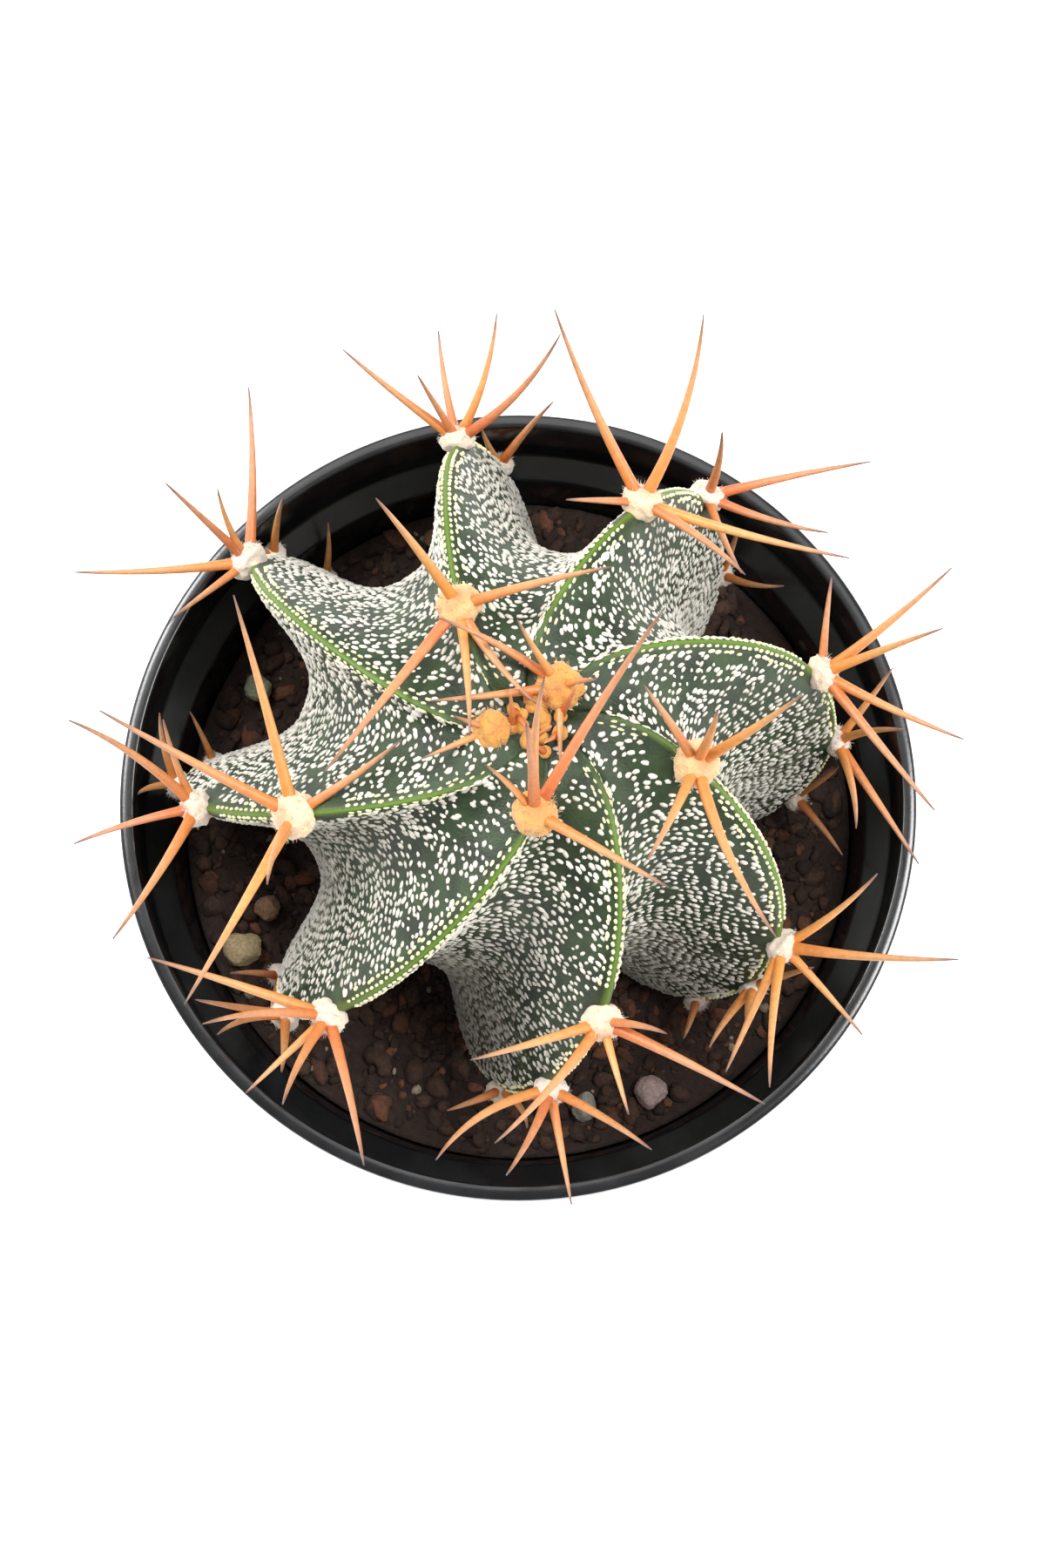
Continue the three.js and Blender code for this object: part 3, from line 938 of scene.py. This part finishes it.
@dataclass
class Stem:
    """The cactus body: its fine skin, and the felt flecks and crest dots that stand on it."""

    form: StemForm = field(default_factory=StemForm)
    columns_per_flank: int = 18
    rings: int = 180
    skin_degree: float = 0.7 * MM
    fleck_pitch: float = 1.2 * MM
    fleck_row: float = 1.1 * MM
    fleck_radius: float = 0.38 * MM
    dot_pitch: float = 1.05 * MM
    dot_radius: float = 0.31 * MM
    dot_rows: tuple[float, ...] = (0.58 * MM, 1.5 * MM)
    bare_band: float = 2.2 * MM

    def felt(self, turn: np.ndarray, meridian: np.ndarray) -> np.ndarray:
        """How much of the skin the felt covers, from 0 by the crown to 1 low in a valley."""
        away = np.abs(turn - np.round(turn)) * 2
        old = np.clip((meridian - 20) / 70, 0, 1)
        return np.clip(0.5 + 0.35 * old + 0.35 * (away - 0.35) * (0.3 + old), 0, 1)

    def skin(self) -> bpy.types.Object:
        """Moves the rows and columns of a ball on to the stem's form."""
        columns = 2 * self.columns_per_flank * self.form.rib_count
        shape = bmesh.new()
        bmesh.ops.create_uvsphere(shape, u_segments=columns, v_segments=self.rings, radius=1)
        mesh = mesh_of(shape, "stem_skin")
        ball = coordinates(mesh)
        even = -np.arctan2(ball[:, 1], ball[:, 0]) / (2 * math.pi) * self.form.rib_count
        crest = np.round(even)
        last = self.form.soil_meridian + self.form.buried_span
        meridian = np.arccos(np.clip(ball[:, 2], -1, 1)) / math.pi * last
        signed = (even - crest) * 2 * self.form.flank_width(meridian)
        turn = self.form.turn_at(crest, signed, meridian)
        move_corners(mesh, self.form.place(turn, meridian))
        distance = self.form.from_crest(turn, meridian)
        new = np.clip((meridian - 5) / 12, 0, 1)
        add_attribute(mesh, "crest", np.clip(1.5 - distance / (0.42 * MM), 0, 1) * new)
        felt = self.felt(turn, meridian) * np.clip((distance - 1.2 * MM) / (3 * MM), 0, 1)
        add_attribute(mesh, "felt", felt * np.clip((meridian - 35) / 50, 0, 1) * 0.66)
        return finished_piece("stem_skin", mesh, CactusSkin().make(), ["cactus_stem"])

    def clear_of_areoles(self, rib: int, distance: np.ndarray, meridian: np.ndarray) -> np.ndarray:
        """Which places keep off the wool and off the bare patch on its crown side.

        Args:
            rib: The rib that the places are on.
            distance: How far each place is from the crest.
            meridian: Each place's meridian angle.

        Returns:
            True for each place that may hold a fleck.
        """
        clear = np.ones(len(meridian), bool)
        for areole in RIBS[rib]:
            below = (meridian - areole.meridian) * self.skin_degree
            reach = np.where(below < 0, 4.9 * MM, 3.0 * MM) * areole.size
            clear &= (below / reach) ** 2 + (distance / (2.7 * MM * areole.size)) ** 2 > 1
        return clear

    def flecks(self, rib: int, seed: int, finish: bpy.types.Material) -> bpy.types.Object:
        """Covers the two flanks of a rib with felt flecks, in loose wavy rows.

        Args:
            rib: The rib's number, from 0.
            seed: Sets the random draws.
            finish: The tufts' material.

        Returns:
            The new piece.
        """
        chance = np.random.default_rng(seed)
        distances, meridians = [], []
        for side in (-1, 1):
            for row in np.arange(5.0, 130.0, self.fleck_row / self.skin_degree):
                width = float(self.form.flank_width(row))
                first = self.bare_band * chance.uniform(0.85, 1.15)
                along = np.arange(first, width, self.fleck_pitch)
                distances.append(side * (along + chance.normal(0, 0.16 * MM, len(along))))
                meridians.append(row + chance.normal(0, 0.2, len(along)))
        signed, meridian = np.concatenate(distances), np.concatenate(meridians)
        turn = self.form.turn_at(np.full(len(signed), float(rib)), signed, meridian)
        meridian += 1.5 * lumps(self.form.place(turn, meridian), 3.5 * MM, seed)
        patchy = lumps(self.form.place(turn, meridian), 4.5 * MM, seed + 3.1)
        felt = self.felt(turn, meridian) + 0.25 * patchy
        keep = chance.uniform(0, 1, len(turn)) < felt + 0.2
        keep &= self.clear_of_areoles(rib, np.abs(signed), meridian)
        turn, meridian, felt = turn[keep], meridian[keep], np.clip(felt[keep], 0, 1)
        across, down, outward = self.form.frames(turn, meridian)
        slant = 1.0 * lumps(self.form.place(turn, meridian), 3 * MM, seed + 9.5)
        slant += chance.normal(0, 0.35, len(turn))
        long_way = np.cos(slant)[:, None] * across + np.sin(slant)[:, None] * down
        short_way = np.cross(outward, long_way)
        size = self.fleck_radius * chance.uniform(0.75, 1.15, len(turn))
        stretch = 1 + felt * chance.uniform(0.2, 1.0, len(turn))
        axes = np.stack([
            long_way * (size * stretch)[:, None],
            short_way * (size * 0.82)[:, None],
            outward * (size * 0.6)[:, None],
        ], axis=1)
        # Lower flecks lean towards the grey end colour: partly older felt, partly painted shade.
        old = np.clip((meridian - 30) / 70, 0, 1)
        tints = np.clip(0.95 - 0.45 * old - chance.uniform(0, 0.4, len(turn)), 0, 1)
        swarm = Swarm(grain_shape(1))
        swarm.add_turned(axes, self.form.place(turn, meridian), tints, 0.2, seed)
        name = f"felt_flecks_rib{rib + 1}"
        return finished_piece(name, swarm.mesh(name), finish)

    def crest_dots(self, rib: int, seed: int, finish: bpy.types.Material) -> bpy.types.Object:
        """Sets neat rows of small tufts on both sides of a rib's crest.

        Args:
            rib: The rib's number, from 0.
            seed: Sets the random draws.
            finish: The tufts' material.

        Returns:
            The new piece.
        """
        chance = np.random.default_rng(seed)
        distances, meridians = [], []
        for offset in self.dot_rows:
            for side in (-1, 1):
                row = np.arange(7.0 + chance.uniform(0, 1), 124.0, self.dot_pitch / self.skin_degree)
                inner = offset == self.dot_rows[0]
                row = row[chance.uniform(0, 1, len(row)) < (1.0 if inner else 0.85)]
                meridians.append(row + chance.normal(0, 0.1 if inner else 0.3, len(row)))
                wander = chance.normal(0, (0.04 if inner else 0.14) * MM, len(row))
                distances.append(side * (offset + wander))
        signed, meridian = np.concatenate(distances), np.concatenate(meridians)
        keep = self.clear_of_areoles(rib, np.abs(signed), meridian)
        signed, meridian = signed[keep], meridian[keep]
        turn = self.form.turn_at(np.full(len(signed), float(rib)), signed, meridian)
        across, down, outward = self.form.frames(turn, meridian)
        outer = np.abs(signed) > sum(self.dot_rows) / 2
        size = self.dot_radius * np.where(outer, 1.2, 1.0) * chance.uniform(0.85, 1.15, len(turn))
        axes = np.stack([
            across * (size * 0.8)[:, None], down * (size * 1.15)[:, None], outward * (size * 0.7)[:, None],
        ], axis=1)
        swarm = Swarm(grain_shape(1))
        tints = chance.uniform(0.3, 1, len(turn))
        swarm.add_turned(axes, self.form.place(turn, meridian), tints, 0.12, seed)
        name = f"crest_dots_rib{rib + 1}"
        return finished_piece(name, swarm.mesh(name), finish)

    def build(self) -> None:
        """Builds the skin and every rib's flecks and dots."""
        self.skin()
        # The flecks' grey end colour 96918a is their colour in shade: painted shade on top of the grey of
        # old felt.
        fleck_finish = FeltFleck("matted_felt_fleck", "eae6d8", "96918a").make()
        dot_finish = FeltFleck("young_crest_felt", "ece7bd", "c9c792").make()
        for rib in range(self.form.rib_count):
            self.flecks(rib, 40 + rib, fleck_finish)
            self.crest_dots(rib, 60 + rib, dot_finish)


# --- Areoles -------------------------------------------------------------------------


@dataclass
class AreoleCluster:
    """One areole: a lumpy wool cushion on the crest with stiff tapered spines out of it."""

    form: StemForm
    rib: int
    place: int
    wool_finish: bpy.types.Material
    spine_finish: bpy.types.Material
    wool_radius: float = 2.8 * MM
    wool_thickness: float = 1.9 * MM
    fibre_count: int = 130
    fibre_length: float = 0.6 * MM
    fibre_radius: float = 0.05 * MM
    spine_radius: float = 0.8 * MM
    tip_radius: float = 0.08 * MM
    bend: tuple[float, float] = (-0.01, 0.13)

    def __post_init__(self) -> None:
        """Finds the cushion's root point and its directions on the crest."""
        self.areole = RIBS[self.rib][self.place]
        self.chance = np.random.default_rng(1000 + self.rib * 10 + self.place)
        meridian = self.areole.meridian
        crest = np.array(float(self.rib))
        at = [self.form.place(crest, np.array(meridian + step)) for step in (-2.0, 0.0, 2.0)]
        along = Vector(at[2] - at[0]).normalized()
        bearing = float(self.form.bearing(crest, np.array(meridian)))
        lift = math.radians(90 - meridian)
        outward = Vector((
            math.cos(lift) * math.cos(bearing), math.cos(lift) * math.sin(bearing), math.sin(lift),
        ))
        outward = (outward - along * outward.dot(along)).normalized()
        self.outward, self.along = outward, along
        self.side = along.cross(outward).normalized()
        self.root = Vector(at[1]) + outward * 0.5 * MM

    def name(self, kind: str) -> str:
        """A piece name for this areole."""
        return f"{kind}_rib{self.rib + 1}_{self.place + 1}"

    def age(self) -> float:
        """The wool's age: 0 for new golden wool by the crown, and 1 for old white wool."""
        return min(max((self.areole.meridian - 6) / 75, 0), 1)

    def wool(self) -> bpy.types.Object:
        """Builds the cushion from a ball with lumps and a fringe of short fibres."""
        radius = self.wool_radius * self.areole.size
        height = self.wool_thickness * self.areole.size
        turned = np.array([self.side, self.along, self.outward])
        cushion = Swarm(grain_shape(4))
        ball = cushion.corners
        coarse = 0.16 * lumps(ball, 0.45, self.rib * 7 + self.place)
        lump = 1 + coarse + 0.07 * lumps(ball, 0.18, self.place)
        scaled = ball * lump[:, None] * [radius * 0.82, radius * 0.78, height]
        flush = np.clip(1.25 - np.linalg.norm(ball[:, :2], axis=1) * 1.9, 0, 1) * (ball[:, 2] > 0) * 0.55
        cushion.add(scaled @ turned + np.array(self.root), self.age())
        mesh = cushion.mesh(self.name("areole_wool"))
        add_attribute(mesh, "flush", flush)
        return finished_piece(mesh.name, mesh, self.wool_finish)

    def fibres(self) -> bpy.types.Object:
        """Builds the short curled fibres that stand out of the cushion."""
        count = self.fibre_count
        radius = self.wool_radius * self.areole.size
        height = self.wool_thickness * self.areole.size
        turned = np.array([self.side, self.along, self.outward])
        ball = unit(self.chance.normal(0, 1, (count, 3)))
        ball[:, 2] = np.abs(ball[:, 2])
        start = ball * [radius * 0.8, radius * 0.76, height * 0.96]
        lean = unit(ball * [1, 1, 0.8] + self.chance.normal(0, 0.45, (count, 3)))
        cross = unit(np.cross(lean, self.chance.normal(0, 1, (count, 3))))
        third = np.cross(lean, cross)
        rod = Swarm(rod_shape(3, 3))
        share = rod.corners[:, 2]
        length = self.fibre_length * self.areole.size * self.chance.uniform(0.5, 1.3, count)
        for i in range(count):
            thin = self.fibre_radius * (1 - 0.75 * share)
            curl = 0.35 * length[i] * share ** 2
            points = (
                start[i]
                + np.outer(share * length[i], lean[i])
                + np.outer(rod.corners[:, 0] * thin + curl, cross[i])
                + np.outer(rod.corners[:, 1] * thin, third[i])
            )
            rod.add(points @ turned + np.array(self.root), min(self.age() + 0.12, 1))
        mesh = rod.mesh(self.name("wool_fibres"))
        add_attribute(mesh, "flush", np.zeros(len(mesh.vertices)))
        return finished_piece(mesh.name, mesh, self.wool_finish)

    def spines(self) -> bpy.types.Object:
        """Builds the spines: round tapered rods whose tips bend gently upwards."""
        rod = Swarm(rod_shape(12, 16))
        share = rod.corners[:, 2] ** 1.15
        for bearing, lift, length_mm in self.areole.spines:
            length = length_mm * MM
            level, rise = math.radians(bearing), math.radians(lift)
            along = direction(level, rise)
            side = along.cross(Vector((0, 0, 1))).normalized()
            up = side.cross(along)
            base = self.spine_radius * min(1, 0.55 + length_mm / 55)
            taper = (1 - share) ** 0.75
            foot = 1 + 0.22 * np.exp(-((share * length / (1.6 * MM)) ** 2))
            bend = self.chance.uniform(*self.bend)
            girth = self.tip_radius + (base - self.tip_radius) * taper * foot
            sway = self.chance.normal(0, 0.03) * length * share * (1 - share) * 4
            points = (
                np.outer(share * length, along)
                + np.outer(rod.corners[:, 0] * girth + sway, side)
                + np.outer(rod.corners[:, 1] * girth * 0.86 + bend * length * share ** 2, up)
            )
            rod.add(points + np.array(self.root), self.chance.uniform(0, 1))
        mesh = rod.mesh(self.name("spines"))
        add_attribute(mesh, "along", np.tile(share, len(self.areole.spines)))
        node = f"spine_cluster_rib{self.rib + 1}_{self.place + 1}"
        return finished_piece(mesh.name, mesh, self.spine_finish, [node])

    def build(self) -> None:
        """Builds the cushion, its fibres and its spines."""
        self.wool()
        self.fibres()
        self.spines()


@dataclass
class Crown:
    """The growing point: a huddle of new golden wool with a few stubby new spines in it."""

    form: StemForm
    wool_finish: bpy.types.Material
    spine_finish: bpy.types.Material
    tufts_per_rib: int = 2
    first_meridian: float = 0.8
    meridian_step: float = 1.3
    tuft_radius: tuple[float, float] = (0.7 * MM, 1.1 * MM)
    spine_length: tuple[float, float] = (4.0 * MM, 8.0 * MM)
    spine_radius: float = 0.55 * MM

    def build(self) -> None:
        """Builds the tufts as one piece and the new spines as another."""
        chance = np.random.default_rng(77)
        wool, spikes = Swarm(grain_shape(3)), Swarm(rod_shape(10, 6))
        share = spikes.corners[:, 2]
        for rib in range(self.form.rib_count):
            for step in range(self.tufts_per_rib):
                meridian = self.first_meridian + self.meridian_step * step + chance.uniform(-0.4, 0.4)
                turn = rib + chance.uniform(-0.12, 0.12)
                root = self.form.place(np.array(turn), np.array(meridian)) + [0, 0, 0.3 * MM]
                radius = chance.uniform(*self.tuft_radius)
                lump = 1 + 0.16 * lumps(wool.corners, 0.5, rib * 3.1 + step)
                wool.add(wool.corners * lump[:, None] * [radius, radius, radius * 0.9] + root, 0.0)
            length = chance.uniform(*self.spine_length)
            axis = Vector((chance.normal(0, 0.45), chance.normal(0, 0.45), 1)).normalized()
            side = axis.orthogonal().normalized()
            girth = self.spine_radius * (1 - 0.85 * share)
            spikes.add(
                np.outer(share * length, axis) + np.outer(spikes.corners[:, 0] * girth, side)
                + np.outer(spikes.corners[:, 1] * girth, axis.cross(side)) + root,
                chance.uniform(0.5, 1),
            )
        mesh = wool.mesh("crown_wool")
        add_attribute(mesh, "flush", np.full(len(mesh.vertices), 0.08))
        finished_piece("crown_wool", mesh, self.wool_finish)
        mesh = spikes.mesh("crown_spines")
        add_attribute(mesh, "along", np.tile(share, self.form.rib_count) * 0.6)
        finished_piece("crown_spines", mesh, self.spine_finish)


# --- Soil and stones -----------------------------------------------------------------


@dataclass
class PottingMix:
    """The soil bed, the crumbs and chips that lie on it, and the few larger stones."""

    pot: NurseryPot
    form: StemForm
    height: float = 67 * MM
    crown: float = 1.4 * MM
    gap: float = 0.3 * MM
    steps: int = 200
    rings: int = 70
    roughness: float = 1.3 * MM

    def edge(self) -> float:
        """The soil's radius where it meets the pot."""
        return self.pot.inner_radius(self.height) - self.gap

    def surface(self, points: np.ndarray) -> np.ndarray:
        """The soil's height at places given by their X and Y."""
        distance = np.linalg.norm(points[:, :2], axis=1)
        inward = np.clip((self.edge() - distance) / (self.edge() * 0.6), 0, 1)
        flat = np.column_stack([points[:, 0], points[:, 1], np.zeros(len(points))])
        uneven = lumps(flat, 9 * MM, 3.0) + 0.5 * lumps(flat, 3.2 * MM, 8.0)
        uneven += 0.25 * lumps(flat, 1.3 * MM, 5.0)
        return self.height + self.crown * inward + self.roughness * uneven * 0.7

    def bed(self) -> bpy.types.Object:
        """Turns the soil's section and roughens its top."""
        shape = bmesh.new()
        floor, edge = self.pot.floor + self.gap, self.edge()
        outline = [(edge * i / self.rings, self.height) for i in range(self.rings + 1)]
        outline += [(self.pot.inner_radius(floor) - self.gap, floor), (0, floor)]
        corners = [shape.verts.new((radius, 0, height)) for radius, height in outline]
        edges = [shape.edges.new(pair) for pair in zip(corners, corners[1:])]
        bmesh.ops.spin(
            shape, geom=corners + edges, cent=(0, 0, 0), axis=(0, 0, 1),
            angle=2 * math.pi, steps=self.steps, use_merge=True,
        )
        bmesh.ops.remove_doubles(shape, verts=shape.verts, dist=1e-6)
        bmesh.ops.recalc_face_normals(shape, faces=shape.faces)
        mesh = mesh_of(shape, "soil_bed")
        points = coordinates(mesh)
        top = points[:, 2] > self.height - 0.1 * MM
        points[top, 2] = self.surface(points[top])
        move_corners(mesh, points)
        add_attribute(mesh, "tint", np.full(len(points), 0.6))
        finish = GroundMix("damp_peat", "0d0907", "3a281f", 0.9 * MM, 0.5 * MM).make()
        return finished_piece("soil_bed", mesh, finish, ["potting_soil"])

    def crumbs(self, name: str, count: int, sizes: tuple[float, float], flatness: float,
               finish: GroundMix, seed: int) -> bpy.types.Object:
        """Scatters irregular crumbs of one kind over the soil.

        Args:
            name: The piece's name.
            count: How many crumbs.
            sizes: The smallest and largest radius.
            flatness: Thickness as a share of the radius.
            finish: Their material.
            seed: Sets the random draws.

        Returns:
            The new piece.
        """
        chance = np.random.default_rng(seed)
        angle = chance.uniform(0, 2 * math.pi, count)
        distance = np.sqrt(chance.uniform(0.16, 1, count)) * (self.edge() - 1.2 * MM)
        size = sizes[0] + (sizes[1] - sizes[0]) * chance.uniform(0, 1, count) ** 2.5
        places = np.column_stack([distance * np.cos(angle), distance * np.sin(angle), np.zeros(count)])
        places[:, 2] = self.surface(places) + size * 0.2 * flatness
        swarm = Swarm(grain_shape(2 if sizes[1] > 1 * MM else 1))
        tints = chance.uniform(0.2, 1, count)
        for i in range(count):
            turned = np.array(Matrix.Rotation(chance.uniform(0, 6.28), 3, "Z"))
            tipped = np.array(Matrix.Rotation(chance.normal(0, 0.4), 3, "X"))
            stretch = size[i] * np.array([chance.uniform(0.8, 1.4), chance.uniform(0.6, 1), flatness])
            rough = 1 + chance.uniform(-0.22, 0.22, len(swarm.corners))
            swarm.add(swarm.corners * rough[:, None] * stretch @ tipped @ turned + places[i], tints[i])
        return finished_piece(name, swarm.mesh(name), finish.make())

    def stone(self, node: str, dark: str, light: str, seed: float) -> bpy.types.Object:
        """Builds a broken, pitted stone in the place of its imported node.

        Args:
            node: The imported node's name.
            dark: The stone's darker shade.
            light: Its lighter shade.
            seed: Sets its shape.

        Returns:
            The new piece.
        """
        low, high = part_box(node)
        middle, half = (low + high) / 2, (high - low) / 2
        shape = bmesh.new()
        bmesh.ops.create_icosphere(shape, subdivisions=5, radius=1)
        mesh = mesh_of(shape, node + "_rock")
        ball = coordinates(mesh)
        chance = np.random.default_rng(int(seed * 10))
        for normal in unit(chance.normal(0, 1, (9, 3))):
            beyond = np.maximum(ball @ normal - chance.uniform(0.72, 0.9), 0)
            ball -= np.outer(beyond * 0.85, normal)
        rough = 1 + 0.08 * lumps(ball, 0.5, seed) + 0.04 * lumps(ball, 0.16, seed)
        ball *= rough[:, None] * 1.05
        move_corners(mesh, ball * np.array(half) + np.array(middle))
        add_attribute(mesh, "tint", np.full(len(ball), 0.9))
        finish = GroundMix(node.replace("_stone", "") + "_finish", dark, light, 0.4 * MM, 0.2 * MM)
        return finished_piece(node + "_rock", mesh, finish.make(), [node])

    def build(self) -> None:
        """Builds the bed, the crumbs and the stones."""
        self.bed()
        peat = GroundMix("peat_crumb", "120c09", "4a3326", 0.6 * MM)
        bark = GroundMix("fine_bark", "24130c", "6e4530", 0.6 * MM)
        pumice = GroundMix("pumice_grain", "574b3c", "a79b84", 0.4 * MM)
        self.crumbs("peat_crumbs", 2600, (0.3 * MM, 1.5 * MM), 0.7, peat, 5)
        self.crumbs("bark_crumbs", 420, (0.4 * MM, 1.9 * MM), 0.4, bark, 6)
        self.crumbs("pumice_grains", 90, (0.3 * MM, 1.1 * MM), 0.8, pumice, 7)
        self.stone("tan_pumice_stone", "6f5c3f", "b9a47e", 1.3)
        self.stone("brown_pumice_stone", "4a3626", "94765a", 2.1)
        self.stone("pink_grit_stone", "6d5a58", "b39c97", 3.7)
        self.stone("grey_grit_stone", "55534d", "9a978e", 4.4)
        self.stone("red_lava_stone", "47231a", "95573d", 5.2)
        self.stone("small_lava_stone", "42281e", "855842", 6.8)
        self.stone("green_grit_stone", "45463a", "8b8c72", 7.5)
        self.stone("dark_bark_chip", "251810", "65482f", 8.9)


# --- Studio --------------------------------------------------------------------------


@dataclass
class Studio:
    """A white table, soft lights at the sides and back, narrow panes above, and the camera."""

    table_side: float = 4.0
    target: tuple[float, float, float] = (0.56 * MM, 2.04 * MM, 88 * MM)
    camera_distance: float = 450 * MM
    camera_elevation: float = 80.0
    focal_length: float = 80.74

    def table(self) -> None:
        """Lays the white table under the pot."""
        shape = bmesh.new()
        bmesh.ops.create_grid(shape, x_segments=1, y_segments=1, size=self.table_side / 2)
        mesh = mesh_of(shape, "table", smooth=False)
        mesh.materials.append(WhiteTable().make())
        table = bpy.data.objects.new("table", mesh)
        bpy.context.scene.collection.objects.link(table)

    def light(self, name: str, azimuth: float, elevation: float, distance: float,
              size: tuple[float, float], power: float) -> None:
        """Hangs a soft rectangular light that faces the plant.

        Args:
            name: The light's name.
            azimuth: Its bearing from the plant, in degrees from +X.
            elevation: Its angle above level.
            distance: How far away it is.
            size: Its width and height.
            power: Its power in watts.
        """
        lamp = bpy.data.lights.new(name, "AREA")
        lamp.shape = "RECTANGLE"
        lamp.size, lamp.size_y = size
        lamp.energy = power
        level, rise = math.radians(azimuth), math.radians(elevation)
        out = direction(level, rise)
        holder = bpy.data.objects.new(name, lamp)
        holder.location = Vector(self.target) + out * distance
        holder.rotation_euler = out.to_track_quat("Z", "Y").to_euler()
        bpy.context.scene.collection.objects.link(holder)

    def camera(self) -> None:
        """Stands the camera above the plant, tipped a little to the front."""
        rise = math.radians(self.camera_elevation)
        out = Vector((0, -math.cos(rise), math.sin(rise)))
        lens = bpy.data.cameras.new("camera")
        lens.lens = self.focal_length
        lens.clip_start, lens.clip_end = 0.01, 20
        holder = bpy.data.objects.new("camera", lens)
        holder.location = Vector(self.target) + out * self.camera_distance
        holder.rotation_euler = out.to_track_quat("Z", "Y").to_euler()
        bpy.context.scene.collection.objects.link(holder)
        bpy.context.scene.camera = holder

    def build(self) -> None:
        """Sets up the table, the lights, the sky and the camera."""
        self.table()
        self.light("pane_right", 7.5, 67, 0.9, (0.25, 0.18), 4.4)
        self.light("pane_left", 134.5, 60.8, 0.9, (0.15, 0.16), 2.4)
        self.light("pane_left_narrow", 153, 63.8, 0.9, (0.05, 0.16), 0.8)
        self.light("window_right", -20, 32, 0.9, (0.6, 0.4), 6)
        self.light("window_left", 160, 34, 0.9, (0.5, 0.4), 6)
        self.light("sky_back", 100, 66, 1.2, (0.8, 0.6), 4)
        world = bpy.data.worlds.new("studio_sky")
        world.use_nodes = True
        background = world.node_tree.nodes["Background"]
        background.inputs["Color"].default_value = (1, 1, 1, 1)
        background.inputs["Strength"].default_value = 0.5
        bpy.context.scene.world = world
        bpy.context.scene.view_settings.view_transform = "Standard"
        self.camera()


def main() -> None:
    """Builds the studio and every sub-assembly in order."""
    logging.basicConfig(level=logging.INFO, format="%(message)s")
    form = StemForm()
    pot = NurseryPot()
    Studio().build()
    pot.build()
    PottingMix(pot, form).build()
    Stem(form).build()
    wool, horn = AreoleWool().make(), SpineHorn().make()
    for rib, areoles in enumerate(RIBS):
        for place in range(len(areoles)):
            AreoleCluster(form, rib, place, wool, horn).build()
    Crown(form, wool, horn).build()


if __name__ == "__main__":
    main()
